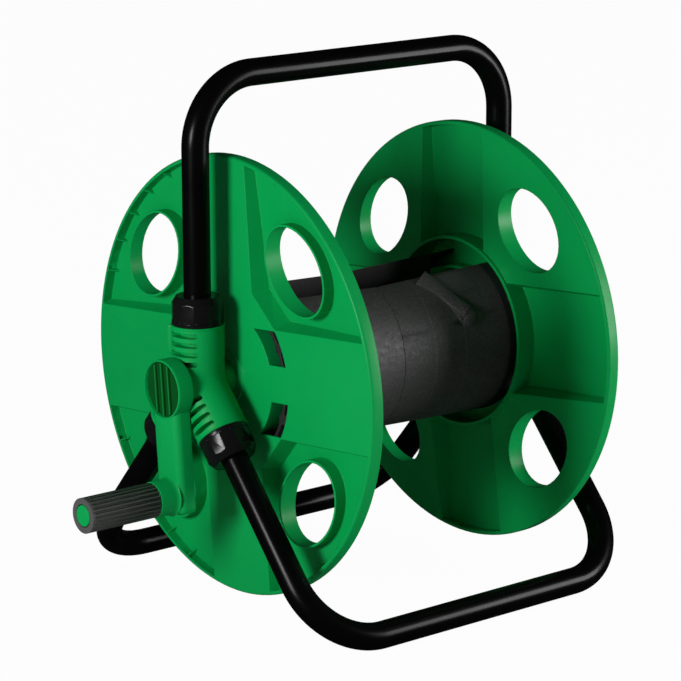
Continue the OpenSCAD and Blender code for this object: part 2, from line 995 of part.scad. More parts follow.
// Turns with the drum: takes water from the fixed axle up to the hose spigot in the channel
module water_elbow() {
  color("#1b1b1d")
    on_reel(1)
      difference() {
        union() {
          translate([0, 0, elbow_u - riser_d / 2 - 1])
            cylinder(h = elbow_out_u - elbow_u + riser_d / 2 + 1, d = elbow_d);
          at_channel() {
            translate([0, 0, elbow_u])
              rotate([-90, 0, 0])
                cylinder(h = spigot_h + spigot_d / 2, d = riser_d);
            translate([-plate_w / 2, channel_floor - drum_wall - plate_t, elbow_u - plate_l / 2])
              cube([plate_w, plate_t, plate_l]);
            translate([0, spigot_h, elbow_u - outlet_root])
              mirror([0, 0, 1])
                rotate_extrude()
                  spigot_profile(outlet_len, outlet_bore);
            translate([0, spigot_h, elbow_u - outlet_root])
              cylinder(h = outlet_root, d = spigot_d + 2 * outlet_step);
          }
        }
        translate([0, 0, axle_in_u - 4])
          cylinder(h = elbow_out_u - axle_in_u + 5, r = socket_bore_r);
        translate([0, 0, elbow_u])
          cylinder(h = axle_in_u - elbow_u, d = chamber_d);
        for (u = seal_at)
          translate([0, 0, u - seal_r - 0.2])
            cylinder(h = 2 * seal_r + 0.4, r = axle_d / 2 + run_clear + 2 * seal_r + 0.1);
        at_channel() {
          translate([0, 0, elbow_u])
            rotate([-90, 0, 0])
              cylinder(h = spigot_h + riser_bore / 2, d = riser_bore);
          translate([0, spigot_h, elbow_u - outlet_root - outlet_len - 1])
            cylinder(h = outlet_root + outlet_len + 1, d = outlet_bore);
          translate([0, 0, elbow_u])
            for (x = [-elbow_screw_x, elbow_screw_x])
              translate([x, 0, 0])
                rotate([-90, 0, 0])
                  cylinder(h = channel_floor, d = small_screw_d);
        }
      }
}

module axle_seals() {
  color("#3a3a3c")
    on_reel(1)
      for (u = seal_at)
        translate([0, 0, u])
          rotate_extrude()
            translate([axle_d / 2 + run_clear + seal_r, 0])
              circle(r = seal_r);
}

module elbow_screws() {
  color("#8d9196")
    on_reel(1)
      at_channel()
        for (x = [-elbow_screw_x, elbow_screw_x])
          translate([x, channel_floor, elbow_u])
            rotate([-90, 0, 0])
              pan_screw(small_screw_d, tube_screw_head_d, tube_screw_head_h,
                        drum_wall + plate_t + 1.5, 1.6);
}

handle_tube();
front_foot_tube();
rear_foot_tube();
crank_side_bracket();
inlet_side_bracket();
crank_handle_collar();
crank_front_collar();
crank_rear_collar();
inlet_handle_collar();
inlet_front_collar();
inlet_rear_collar();
tube_screws();
crank_bush();
inlet_axle();
axle_clip();
crank_side_flange();
inlet_side_flange();
crank_side_drum();
inlet_side_drum();
crank_arm();
dial_cap();
crank_screw();
crank_nut();
grip_pin();
hub_bush();
water_elbow();
axle_seals();
elbow_screws();
grip();
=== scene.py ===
"""Dresses a hose reel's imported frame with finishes, rounded edges and fine pieces."""

import json
from math import atan2, cos, pi, radians, sin

import bmesh
import bpy
from bpy.props import FloatProperty, FloatVectorProperty, IntProperty, PointerProperty
from mathutils import Matrix, Vector


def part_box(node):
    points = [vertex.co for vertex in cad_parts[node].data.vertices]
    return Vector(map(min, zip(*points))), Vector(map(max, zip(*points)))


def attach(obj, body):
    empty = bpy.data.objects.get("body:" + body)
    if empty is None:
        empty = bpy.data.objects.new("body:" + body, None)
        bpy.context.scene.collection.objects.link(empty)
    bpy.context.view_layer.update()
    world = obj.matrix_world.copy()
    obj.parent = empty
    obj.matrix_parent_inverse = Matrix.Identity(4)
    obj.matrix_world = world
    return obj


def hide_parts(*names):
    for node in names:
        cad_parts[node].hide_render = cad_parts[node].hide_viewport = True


bl_info = {
    "name": "Hose Reel",
    "version": (1, 0, 0),
    "blender": (4, 5, 0),
    "location": "View3D > Sidebar > Hose Reel",
    "description": "Dresses a garden hose reel with its finishes and fine pieces",
    "category": "Object",
}

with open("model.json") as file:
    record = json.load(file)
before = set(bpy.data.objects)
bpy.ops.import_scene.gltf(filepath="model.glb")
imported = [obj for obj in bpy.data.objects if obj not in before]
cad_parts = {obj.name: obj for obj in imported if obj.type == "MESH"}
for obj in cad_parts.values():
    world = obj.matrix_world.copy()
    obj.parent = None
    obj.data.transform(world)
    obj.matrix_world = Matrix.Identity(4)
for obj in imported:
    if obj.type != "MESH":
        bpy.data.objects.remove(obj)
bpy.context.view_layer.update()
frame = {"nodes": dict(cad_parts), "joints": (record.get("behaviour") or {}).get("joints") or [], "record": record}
MM = 0.001

JOINTS = {joint["name"]: joint for joint in frame["joints"]}
AXLE = Vector(JOINTS["reel_spin"]["pos_m"])
GRIP_AXIS = Vector(JOINTS["grip_spin"]["pos_m"])
MIDDLE = Vector((AXLE.x, 0, AXLE.z))
# From the drum's middle to the discs' outer faces
FACE = 114 * MM
CRANK_RADIUS = (GRIP_AXIS - AXLE).yz.length
REEL_TURN = atan2(GRIP_AXIS.y - AXLE.y, AXLE.z - GRIP_AXIS.z)

DISCS = ("crank_side_flange", "inlet_side_flange")
TUBES = ("handle_tube", "front_foot_tube", "rear_foot_tube")
COLLARS = tuple(f"{side}_{socket}_collar" for side in ("crank", "inlet")
                for socket in ("handle", "front", "rear"))
DRUM_HALVES = ("crank_side_drum", "inlet_side_drum")

# The materials by record slot, filled by the first operator
MATERIALS = {}
# The stage: the even light of the room, what glossy surfaces see of it, half the floor's
# width in metres, its grey, how far it is plain white to the camera, and the camera's
# sensor in millimetres and reach in metres
ROOM_LIGHT = 0.09
GLOSSY_ROOM = 0.015
FLOOR_HALF = 8
FLOOR_GREY = 0.7
FLOOR_WHITE = 0.97
SENSOR = 36
CLIP_END = 50
# The lamps: the shares of the camera's back, right and up in a direction, the distance and
# the size in metres, and the power in watts
LAMPS = {
    "left_softbox": ((1, -0.8, 0.08), 1.3, 0.3, 12),
    "right_softbox": ((0.15, 1, 0.12), 1.8, 0.7, 26),
}
# Where painted shade darkens the drum's plastic, in metres: behind the axle, on all of that
# half and not only in the hose channel, and toward the discs, along the axle from the middle,
# where the discs' shade falls on the drum's ends; and the strength of that painted shade
BEHIND_AXLE_PAINTED_SHADE = (0.008, 0.014)
DRUM_END_PAINTED_SHADE = (0.0975, 0.0985)
PAINTED_SHADE = 0.3
# Where the dial's ridge tops are painted lighter as a painted highlight, in metres along the
# axle from the drum's middle, and how much lighter
RIDGE_HIGHLIGHT_SPAN = (0.1705, 0.171)
RIDGE_HIGHLIGHT = 2.6
# Mould lines round the drum, in millimetres, painted lighter as a painted highlight along each
# line: where they are, how wide, and how much lighter
DRUM_LINES = (29, 57)
LINE_W = 0.8
LINE_HIGHLIGHT = 1.5
# Angle from which an edge stays sharp or is rounded
CREASE = radians(28)
# Angle up to which loose triangles count as one flat face
FLAT = radians(0.5)
# What joins as one vertex, in the CAD nodes and in the own drawings, in millimetres
NODE_JOIN = 0.002
JOIN = 0.001
# Steps round a full turn
LATHE_STEPS = 96
LIP_STEPS = 72
ROD_STEPS = 64
# The brackets, in millimetres
BRACKET_OUT = 140
SOCKET_R = 18.5
SOCKET_LEN = 42
BARREL_R = 17.9
BARREL_OUT = 19.1
BARREL_IN = 10
TUBE_R = 9.5
TUBE_SEAT = 18
BORE_R = {-1: 13.55, 1: 11}
# How far a cutter goes past the face that it opens
CUT_PAST = 2
SLOT_COUNT = 4
SLOT_PITCH = 6.6
SLOT_FROM_END = 5.5
SLOT_W = 3.6
SLOT_DEPTH = 6
SLOT_SWEEP = radians(75)
SLOT_STARTS = (radians(158), radians(134), radians(158))
SLOT_STEPS = 26
# The least half width of a slot's tip, squared, so that it doesn't close to nothing
SLOT_TIP = 0.02
# The tab on the handle's socket
TAB_TURN = radians(138)
TAB_IN = 15
TAB_OUT = 21
TAB_W = 3
TAB_LEN = 20
TAB_FROM_END = 1
# The lip round a socket's mouth
LIP_PROFILE = (
    (18.2, SOCKET_LEN - 1.9), (18.6, SOCKET_LEN - 1.75), (18.95, SOCKET_LEN - 1.3),
    (19, SOCKET_LEN - 0.5), (18.8, SOCKET_LEN - 0.1), (18.5, SOCKET_LEN), (17, SOCKET_LEN),
    (17, SOCKET_LEN - 1.9), (18.2, SOCKET_LEN - 1.9),
)
# Voxel of the brackets' skin, how far and how often it is smoothed round the axle, and how
# often as a whole
SKIN = 0.8
BLEND_REACH = 27
BLEND_STEPS = 70
SKIN_STEPS = 2
FRONT_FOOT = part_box("front_foot_tube")
FOOT_ANGLE = atan2(-(FRONT_FOOT[0][1] + TUBE_R * MM), AXLE.z - TUBE_R * MM)

# The crank, in millimetres: radii and distances along the axle from the drum's middle
CRANK_BACK = 159.4
CRANK_FRONT = 172
ARM_FRONT = 171.6
ARM_WIDTH = 28
ARM_EDGE = 5.2
EDGE_STEPS = 6
# How near to a face of a bar a vertex counts as on it
ON_FACE = 0.1
GRIP_IN = 186.3
# The hub, with the pocket for the dial, and the radius between them that cuts the arm
HUB_R = 20.75
POCKET_R = 19.4
POCKET_FLOOR = 167.5
HUB_CUT_R = (POCKET_R + HUB_R) / 2
# How far one piece of a drawing runs into the next
OVERLAP = 1
SPINDLE_END = 115
SQUARE = 14
SQUARE_END = 104
SQUARE_EDGE = 0.5
HUB_PROFILE = (
    (0, POCKET_FLOOR), (POCKET_R, POCKET_FLOOR), (POCKET_R, CRANK_FRONT - 0.4),
    (POCKET_R + 0.15, CRANK_FRONT - 0.1), (HUB_R - 0.85, CRANK_FRONT),
    (HUB_R - 0.45, CRANK_FRONT - 0.15), (HUB_R - 0.15, CRANK_FRONT - 0.5),
    (HUB_R, CRANK_FRONT - 1.1), (HUB_R, CRANK_BACK + 0.6), (HUB_R - 0.55, CRANK_BACK),
    (0, CRANK_BACK),
)
SPINDLE_R = 11
SPINDLE_PROFILE = (
    (0, SPINDLE_END), (SPINDLE_R - 0.4, SPINDLE_END), (SPINDLE_R, SPINDLE_END + 0.4),
    (SPINDLE_R, CRANK_BACK + OVERLAP), (0, CRANK_BACK + OVERLAP),
)
BOSS_R = 12.7
BOSS_PROFILE = (
    (0, GRIP_IN - 0.3), (BOSS_R - 0.6, GRIP_IN - 0.3), (BOSS_R - 0.15, GRIP_IN - 0.5),
    (BOSS_R, GRIP_IN - 1), (BOSS_R, CRANK_BACK + OVERLAP), (0, CRANK_BACK + OVERLAP),
)
# Foot of the boss, where it rises from the arm
BOSS_FILLET = (
    (BOSS_R, ARM_FRONT + 2.6), (BOSS_R + 0.25, ARM_FRONT + 1.4), (BOSS_R + 0.9, ARM_FRONT + 0.4),
    (BOSS_R + 1.6, ARM_FRONT - 0.2), (BOSS_R, ARM_FRONT - 1), (BOSS_R, ARM_FRONT + 2.6),
)


class HoseReelColours(bpy.types.PropertyGroup):
    """Colours of the reel's materials."""

    green: FloatVectorProperty(
        name="Green", description="Colour of the discs, the brackets and the crank",
        subtype="COLOR", size=3, min=0, max=1, default=(0.0015, 0.31, 0.068))
    dark_green: FloatVectorProperty(
        name="Dark green", description="Colour of the cap on the crank's hub",
        subtype="COLOR", size=3, min=0, max=1, default=(0.0015, 0.064, 0.01))
    enamel: FloatVectorProperty(
        name="Tube enamel", description="Colour of the enamel on the steel tubes",
        subtype="COLOR", size=3, min=0, max=1, default=(0.0016, 0.0016, 0.0016))
    collar: FloatVectorProperty(
        name="Collars", description="Colour of the collars on the tubes",
        subtype="COLOR", size=3, min=0, max=1, default=(0.0055, 0.0055, 0.0055))
    drum: FloatVectorProperty(
        name="Drum", description="Colour of the drum",
        subtype="COLOR", size=3, min=0, max=1, default=(0.042, 0.041, 0.041))
    grip: FloatVectorProperty(
        name="Grip", description="Colour of the crank's grip",
        subtype="COLOR", size=3, min=0, max=1, default=(0.07, 0.069, 0.069))


class HoseReelSizes(bpy.types.PropertyGroup):
    """Sizes of what is rounded."""

    disc_edge: FloatProperty(
        name="Disc edges", description="Radius of the discs' moulded edges",
        subtype="DISTANCE", unit="LENGTH", min=0, default=0.5 * MM)
    collar_edge: FloatProperty(
        name="Collar edges", description="Radius of the collars' edges",
        subtype="DISTANCE", unit="LENGTH", min=0, default=0.4 * MM)
    drum_edge: FloatProperty(
        name="Drum edges", description="Radius of the drum's edges",
        subtype="DISTANCE", unit="LENGTH", min=0, default=0.4 * MM)
    cap_edge: FloatProperty(
        name="Cap edges", description="Radius of the edges and ridges of the crank's cap",
        subtype="DISTANCE", unit="LENGTH", min=0, default=0.3 * MM)
    pin_edge: FloatProperty(
        name="Pin edges", description="Radius of the edge of the grip pin's head",
        subtype="DISTANCE", unit="LENGTH", min=0, default=0.8 * MM)
    segments: IntProperty(
        name="Edge segments", description="Steps across a rounded edge", min=1, max=6, default=2)


class HoseReelStage(bpy.types.PropertyGroup):
    """The camera's place and lens."""

    azimuth: FloatProperty(
        name="Camera azimuth", description="Turn of the camera about the vertical",
        subtype="ANGLE", unit="ROTATION", default=radians(-39.56))
    elevation: FloatProperty(
        name="Camera elevation", description="Height of the camera as an angle",
        subtype="ANGLE", unit="ROTATION", default=radians(13.634))
    roll: FloatProperty(
        name="Camera roll", description="Tilt of the camera about its own axis",
        subtype="ANGLE", unit="ROTATION", default=radians(-0.167))
    distance: FloatProperty(
        name="Camera distance", description="From the camera's plane to the near disc's centre",
        subtype="DISTANCE", unit="LENGTH", default=2.0185)
    aside: FloatProperty(
        name="Camera aside", description="Shift of the camera to its right",
        subtype="DISTANCE", unit="LENGTH", default=78.197 * MM)
    above: FloatProperty(
        name="Camera above", description="Shift of the camera upwards",
        subtype="DISTANCE", unit="LENGTH", default=24.958 * MM)
    lens: FloatProperty(
        name="Lens", description="Focal length in millimetres", default=152.896)


def finish(name, colour, roughness, **sockets):
    """Starts a material with plain values, and returns the material and its shader."""
    material = bpy.data.materials.new(name)
    material.use_nodes = True
    shader = material.node_tree.nodes["Principled BSDF"]
    shader.inputs["Base Color"].default_value = (*colour, 1)
    shader.inputs["Roughness"].default_value = roughness
    for socket, value in sockets.items():
        shader.inputs[socket.replace("_", " ")].default_value = value
    return material, shader


def noise(material, scale, detail):
    """Adds a noise on Object coordinates and returns its factor."""
    nodes = material.node_tree.nodes
    coords = nodes.new("ShaderNodeTexCoord")
    pattern = nodes.new("ShaderNodeTexNoise")
    pattern.inputs["Scale"].default_value = scale
    pattern.inputs["Detail"].default_value = detail
    material.node_tree.links.new(coords.outputs["Object"], pattern.inputs["Vector"])
    return pattern.outputs["Fac"]


def coordinate(material, axis):
    """One of a material's Object coordinates, X, Y or Z."""
    nodes = material.node_tree.nodes
    coords = nodes.new("ShaderNodeTexCoord")
    parts = nodes.new("ShaderNodeSeparateXYZ")
    material.node_tree.links.new(coords.outputs["Object"], parts.inputs["Vector"])
    return parts.outputs[axis]


def worked_out(material, operation, value, *others):
    """Adds a calculation on a value and returns its result."""
    node = material.node_tree.nodes.new("ShaderNodeMath")
    node.operation = operation
    material.node_tree.links.new(value, node.inputs[0])
    for number, other in enumerate(others, 1):
        node.inputs[number].default_value = other
    return node.outputs["Value"]


def from_middle(material):
    """Distance along the axle from the drum's middle."""
    along = worked_out(material, "SUBTRACT", coordinate(material, "X"), MIDDLE.x)
    return worked_out(material, "ABSOLUTE", along)


def spread(material, factor, low, high, start=0.3, end=0.7):
    """Maps a factor onto the range between two values."""
    node = material.node_tree.nodes.new("ShaderNodeMapRange")
    node.inputs["From Min"].default_value = start
    node.inputs["From Max"].default_value = end
    node.inputs["To Min"].default_value = low
    node.inputs["To Max"].default_value = high
    material.node_tree.links.new(factor, node.inputs["Value"])
    return node.outputs["Result"]


def blend_colours(material, shader, factor, first, second):
    """Blends two colours by a factor into a shader's base colour."""
    node = material.node_tree.nodes.new("ShaderNodeMix")
    node.data_type = "RGBA"
    node.inputs["A"].default_value = (*first, 1)
    node.inputs["B"].default_value = (*second, 1)
    links = material.node_tree.links
    links.new(spread(material, factor, 0, 1), node.inputs["Factor"])
    links.new(node.outputs["Result"], shader.inputs["Base Color"])


def dim(material, shader, factor, strength):
    """Multiplies the base colour by a value that goes from 1 to a strength with a factor."""
    node = material.node_tree.nodes.new("ShaderNodeMix")
    node.data_type = "RGBA"
    node.blend_type = "MULTIPLY"
    node.inputs["B"].default_value = (strength, strength, strength, 1)
    links = material.node_tree.links
    links.new(factor, node.inputs["Factor"])
    for link in shader.inputs["Base Color"].links:
        links.new(link.from_socket, node.inputs["A"])
    links.new(node.outputs["Result"], shader.inputs["Base Color"])


def vary_roughness(material, shader, factor, low, high):
    """Varies a shader's roughness between two values with a factor."""
    material.node_tree.links.new(spread(material, factor, low, high), shader.inputs["Roughness"])


def bump(material, shader, factor, strength, depth):
    """Adds a fine relief to a shader's normal, over what it already has."""
    node = material.node_tree.nodes.new("ShaderNodeBump")
    node.inputs["Strength"].default_value = strength
    node.inputs["Distance"].default_value = depth
    links = material.node_tree.links
    links.new(factor, node.inputs["Height"])
    for link in shader.inputs["Normal"].links:
        links.new(link.from_socket, node.inputs["Normal"])
    links.new(node.outputs["Normal"], shader.inputs["Normal"])


def shade(colour, factor):
    """Returns a colour made lighter or darker."""
    return tuple(min(1.0, channel * factor) for channel in colour)


def moulded_green(name, colour):
    """Satin moulded plastic with faint clouds in its colour and a fine skin."""
    material, shader = finish(name, colour, 0.38, Specular_IOR_Level=0.12)
    blend_colours(material, shader, noise(material, 14, 3), shade(colour, 0.95),
                  shade(colour, 1.04))
    vary_roughness(material, shader, noise(material, 40, 5), 0.32, 0.44)
    bump(material, shader, noise(material, 60, 2), 0.25, 0.12 * MM)
    bump(material, shader, noise(material, 1800, 3), 0.12, 0.02 * MM)
    return material


def ridged_green(name, colour):
    """Moulded green whose ridge tops carry a painted highlight, lighter than the plate that they stand on."""
    material = moulded_green(name, colour)
    shader = material.node_tree.nodes["Principled BSDF"]
    # Painted highlight: the ridge tops are painted lighter than the plate
    top = spread(material, from_middle(material), 0, 1, *RIDGE_HIGHLIGHT_SPAN)
    dim(material, shader, top, RIDGE_HIGHLIGHT)
    return material


def gloss_enamel(name, colour):
    """Black enamel on steel tube, with a slight orange peel."""
    material, shader = finish(name, colour, 0.26, Specular_IOR_Level=0.08)
    vary_roughness(material, shader, noise(material, 30, 4), 0.21, 0.28)
    bump(material, shader, noise(material, 420, 2), 0.15, 0.02 * MM)
    return material


def gloss_plastic(name, colour):
    """Smooth black moulded plastic."""
    material, shader = finish(name, colour, 0.26, Specular_IOR_Level=0.17)
    vary_roughness(material, shader, noise(material, 90, 4), 0.19, 0.26)
    bump(material, shader, noise(material, 900, 2), 0.1, 0.02 * MM)
    return material


def grained_plastic(name, colour, grain, depth):
    """Matte dark plastic with a spark-eroded grain."""
    material, shader = finish(name, colour, 0.6, Specular_IOR_Level=0.45)
    blend_colours(material, shader, noise(material, 25, 3), shade(colour, 0.9),
                  shade(colour, 1.1))
    vary_roughness(material, shader, noise(material, 300, 4), 0.52, 0.68)
    bump(material, shader, noise(material, grain, 2), 0.6, depth)
    return material


def drum_plastic(name, colour):
    """Grained plastic with speckles, a painted highlight along its mould lines, and painted shade behind the axle
    and at the discs.
    """
    material, shader = finish(name, colour, 0.6, Specular_IOR_Level=0.45)
    blend_colours(material, shader, noise(material, 820, 2), shade(colour, 0.62),
                  shade(colour, 1.4))
    along = from_middle(material)
    # Painted shade: darker behind the axle and on the drum's ends inside the discs
    dim(material, shader, spread(material, coordinate(material, "Y"), 0, 1, *BEHIND_AXLE_PAINTED_SHADE), PAINTED_SHADE)
    dim(material, shader, spread(material, along, 0, 1, *DRUM_END_PAINTED_SHADE), PAINTED_SHADE)
    vary_roughness(material, shader, noise(material, 300, 4), 0.52, 0.68)
    bump(material, shader, noise(material, 1100, 2), 0.7, 0.09 * MM)
    # Painted highlight: the mould lines are painted lighter
    for line in DRUM_LINES:
        on_line = worked_out(material, "COMPARE", along, line * MM, LINE_W / 2 * MM)
        dim(material, shader, on_line, LINE_HIGHLIGHT)
    return material


def plated_steel(name):
    """Zinc-plated steel."""
    material, shader = finish(name, (0.55, 0.55, 0.56), 0.35, Metallic=1.0)
    vary_roughness(material, shader, noise(material, 400, 4), 0.28, 0.45)
    bump(material, shader, noise(material, 1500, 2), 0.1, 0.02 * MM)
    return material


def plain_plastic(name, colour, roughness):
    """Plain turned or moulded plastic or rubber."""
    material, shader = finish(name, colour, roughness)
    blend_colours(material, shader, noise(material, 60, 3), shade(colour, 0.94),
                  shade(colour, 1.05))
    bump(material, shader, noise(material, 1200, 2), 0.1, 0.02 * MM)
    return material


def give(piece, material):
    """Puts one material on a piece, new or carried over."""
    if not piece.material_slots:
        piece.data.materials.append(material)
    for slot in piece.material_slots:
        slot.material = material


def make_materials(colours):
    """Materials by record slot, made once."""
    return {
        "green_plastic": moulded_green("green_plastic", colours.green),
        "dark_green_plastic": ridged_green("dark_green_plastic", colours.dark_green),
        "tube_enamel": gloss_enamel("tube_enamel", colours.enamel),
        "black_plastic": gloss_plastic("black_plastic", colours.collar),
        "drum_plastic": drum_plastic("drum_plastic", colours.drum),
        "grip_plastic": grained_plastic("grip_plastic", colours.grip, 2200, 0.03 * MM),
        "steel": plated_steel("steel"),
        "bush_plastic": plain_plastic("bush_plastic", (0.72, 0.69, 0.6), 0.4),
        "seal_rubber": plain_plastic("seal_rubber", (0.012, 0.012, 0.012), 0.6),
    }


def body_of(node):
    """The body that a CAD node belongs to."""
    bodies = frame["record"]["behaviour"]["bodies"]
    return next(body for body, nodes in bodies.items() if node in nodes)


def slot_of(node):
    """The record's material slot of a CAD node."""
    parts = frame["record"]["subparts"]
    return next(part["material_slot"] for part in parts if part["node"] == node)


def stand_for(piece, node):
    """Puts a piece in a CAD node's place, with its body, slot and material."""
    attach(piece, body_of(node))
    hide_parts(node)
    give(piece, MATERIALS[slot_of(node)])


def add_piece(name, shape):
    """Makes an object from a bmesh, with smooth faces and sharp creases."""
    for face in shape.faces:
        face.smooth = True
    mesh = bpy.data.meshes.new(name)
    shape.to_mesh(mesh)
    shape.free()
    mesh.set_sharp_from_angle(angle=CREASE)
    piece = bpy.data.objects.new(name, mesh)
    bpy.context.scene.collection.objects.link(piece)
    return piece


def rounded_copy(node, radius, segments):
    """A copy of a CAD node with its loose triangles joined and its sharp edges rounded."""
    shape = bmesh.new()
    shape.from_mesh(frame["nodes"][node].data)
    bmesh.ops.remove_doubles(shape, verts=shape.verts, dist=NODE_JOIN * MM)
    bmesh.ops.dissolve_limit(shape, angle_limit=FLAT, verts=shape.verts, edges=shape.edges)
    piece = add_piece(f"{node}_dressed", shape)
    if radius > 0:
        edge = piece.modifiers.new("edges", "BEVEL")
        edge.width = radius
        edge.segments = segments
        edge.limit_method = "ANGLE"
        edge.angle_limit = CREASE
        edge.use_clamp_overlap = False
        edge.harden_normals = True
    return piece


def crank_side():
    """From a drawing along Z, with +Z outwards and +Y away from the grip, to the crank's side."""
    along = Matrix(((0, 0, -1), (1, 0, 0), (0, 1, 0))).to_4x4()
    return Matrix.Translation(MIDDLE) @ Matrix.Rotation(REEL_TURN, 4, "X") @ along


def lathe(shape, profile, steps=LATHE_STEPS, centre=(0, 0)):
    """Spins an outline of radius and height about Z."""
    verts = [shape.verts.new((centre[0] + r * MM, centre[1], u * MM)) for r, u in profile]
    edges = [shape.edges.new(pair) for pair in zip(verts, verts[1:])]
    bmesh.ops.spin(shape, geom=verts + edges, cent=(*centre, 0), axis=(0, 0, 1), dvec=(0, 0, 0),
                   angle=2 * pi, steps=steps, use_merge=True)


def set_in_place(shape, matrix):
    """Joins doubles, moves a drawing to its place and turns its faces outwards."""
    bmesh.ops.remove_doubles(shape, verts=shape.verts, dist=JOIN * MM)
    bmesh.ops.transform(shape, matrix=matrix, verts=shape.verts)
    bmesh.ops.recalc_face_normals(shape, faces=shape.faces)


def dress(nodes, radius, segments):
    """Puts rounded copies in the place of CAD nodes."""
    for node in nodes:
        stand_for(rounded_copy(node, radius, segments), node)


def evaluated(piece):
    """A bmesh of a piece with its modifiers applied; the piece itself goes."""
    graph = bpy.context.evaluated_depsgraph_get()
    mesh = bpy.data.meshes.new_from_object(piece.evaluated_get(graph))
    shape = bmesh.new()
    shape.from_mesh(mesh)
    bpy.data.meshes.remove(mesh)
    bpy.data.objects.remove(piece)
    return shape


def rod(shape, matrix, radius, low, high):
    """Adds a closed cylinder along Z between two heights, in millimetres."""
    middle = Matrix.Translation((0, 0, (low + high) / 2 * MM))
    bmesh.ops.create_cone(shape, cap_ends=True, segments=ROD_STEPS, radius1=radius * MM,
                          radius2=radius * MM, depth=(high - low) * MM, matrix=matrix @ middle)


def block(shape, matrix, size, middle):
    """Adds a box with a size and a middle in millimetres, and returns its vertices."""
    made = bmesh.ops.create_cube(shape, size=1)["verts"]
    scale = Matrix.Diagonal((*(length * MM for length in size), 1))
    at = Matrix.Translation([length * MM for length in middle])
    bmesh.ops.transform(shape, matrix=matrix @ at @ scale, verts=made)
    return made


def smooth(shape, verts, steps):
    """Draws vertices toward their neighbours, over and over."""
    for _ in range(steps):
        bmesh.ops.smooth_vert(shape, verts=verts, factor=0.5, use_axis_x=True, use_axis_y=True,
                              use_axis_z=True)


def socket_arms(side):
    """Places of a bracket's three arms: the middle of the bracket, with Z along the arm."""
    middle = Matrix.Translation((AXLE.x + side * BRACKET_OUT * MM, 0, AXLE.z))
    angles = (0, pi - FOOT_ANGLE, pi + FOOT_ANGLE)
    return [middle @ Matrix.Rotation(angle, 4, "X") for angle in angles]


def cut_away(body, cuts):
    """One bmesh less another, as a new one; both are used up."""
    piece = add_piece("cut_body", body)
    bmesh.ops.recalc_face_normals(cuts, faces=cuts.faces)
    cutter = add_piece("cutter", cuts)
    cut = piece.modifiers.new("cut", "BOOLEAN")
    cut.operation = "DIFFERENCE"
    cut.object = cutter
    cut.solver = "EXACT"
    cut.use_self = True
    body = evaluated(piece)
    bpy.data.objects.remove(cutter)
    return body


def slot_cutter(shape, matrix, start, height):
    """Adds a slot with round ends, bent round a socket, from its first angle at a height."""
    mid = start + SLOT_SWEEP / 2
    half_len, half_w = SLOT_SWEEP / 2 * SOCKET_R, SLOT_W / 2
    made = bmesh.ops.create_grid(shape, x_segments=SLOT_STEPS, y_segments=1, size=1)["verts"]
    faces = list({face for vert in made for face in vert.link_faces})
    for vert in made:
        along = half_len * sin(vert.co.x * pi / 2)
        end = max(0.0, abs(along) - (half_len - half_w))
        rise = max(SLOT_TIP, half_w ** 2 - end ** 2) ** 0.5
        vert.co = (along, vert.co.y * rise, 0)
    top = bmesh.ops.extrude_face_region(shape, geom=faces)["geom"]
    top = [item for item in top if isinstance(item, bmesh.types.BMVert)]
    for verts, radius in ((made, SOCKET_R - SLOT_DEPTH), (top, SOCKET_R + CUT_PAST)):
        for vert in verts:
            angle = mid + vert.co.x / SOCKET_R
            vert.co = (radius * cos(angle) * MM, radius * sin(angle) * MM,
                       (height + vert.co.y) * MM)
    bmesh.ops.transform(shape, matrix=matrix, verts=made + top)


def bracket_skin(side, arms, across):
    """A bracket's arms, tab and barrel as one skin, the arms blended into each other."""
    body = bmesh.new()
    for arm in arms:
        rod(body, arm, SOCKET_R, 0, SOCKET_LEN)
    turn = Matrix.Rotation(TAB_TURN if side < 0 else pi - TAB_TURN, 4, "Z")
    block(body, arms[0] @ turn, (TAB_OUT - TAB_IN, TAB_W, TAB_LEN),
          ((TAB_OUT + TAB_IN) / 2, 0, SOCKET_LEN - TAB_FROM_END - TAB_LEN / 2))
    rod(body, across, BARREL_R, *sorted((side * BARREL_OUT, -side * BARREL_IN)))
    piece = add_piece("bracket_body", body)
    skin = piece.modifiers.new("skin", "REMESH")
    skin.mode = "VOXEL"
    skin.voxel_size = SKIN * MM
    body = evaluated(piece)
    middle = across.translation
    blend = [vert for vert in body.verts if (vert.co - middle).length < BLEND_REACH * MM
             and abs(vert.co.x - middle.x) < BARREL_OUT * MM - 2 * SKIN * MM]
    smooth(body, blend, BLEND_STEPS)
    smooth(body, body.verts, SKIN_STEPS)
    return body


def bracket_cuts(side, arms, across):
    """What is cut from a bracket: the tubes' sockets, the slots and the bore along the axle."""
    cuts = bmesh.new()
    for arm, start in zip(arms, SLOT_STARTS):
        rod(cuts, arm, TUBE_R, TUBE_SEAT, SOCKET_LEN + CUT_PAST)
        first = start if side < 0 else pi - SLOT_SWEEP - start
        for i in range(SLOT_COUNT):
            slot_cutter(cuts, arm, first, SOCKET_LEN - SLOT_FROM_END - i * SLOT_PITCH)
    rod(cuts, across, BORE_R[side], -BARREL_OUT - CUT_PAST, BARREL_OUT + CUT_PAST)
    return cuts


def bracket(side):
    """A three-way socket piece with slots, lips and a tab, on the crank's (-1) or inlet's side."""
    arms = socket_arms(side)
    across = arms[0] @ Matrix.Rotation(pi / 2, 4, "Y")
    body = cut_away(bracket_skin(side, arms, across), bracket_cuts(side, arms, across))
    for arm in arms:
        start = len(body.verts)
        lathe(body, LIP_PROFILE, steps=LIP_STEPS)
        bmesh.ops.transform(body, matrix=arm, verts=list(body.verts)[start:])
    return body


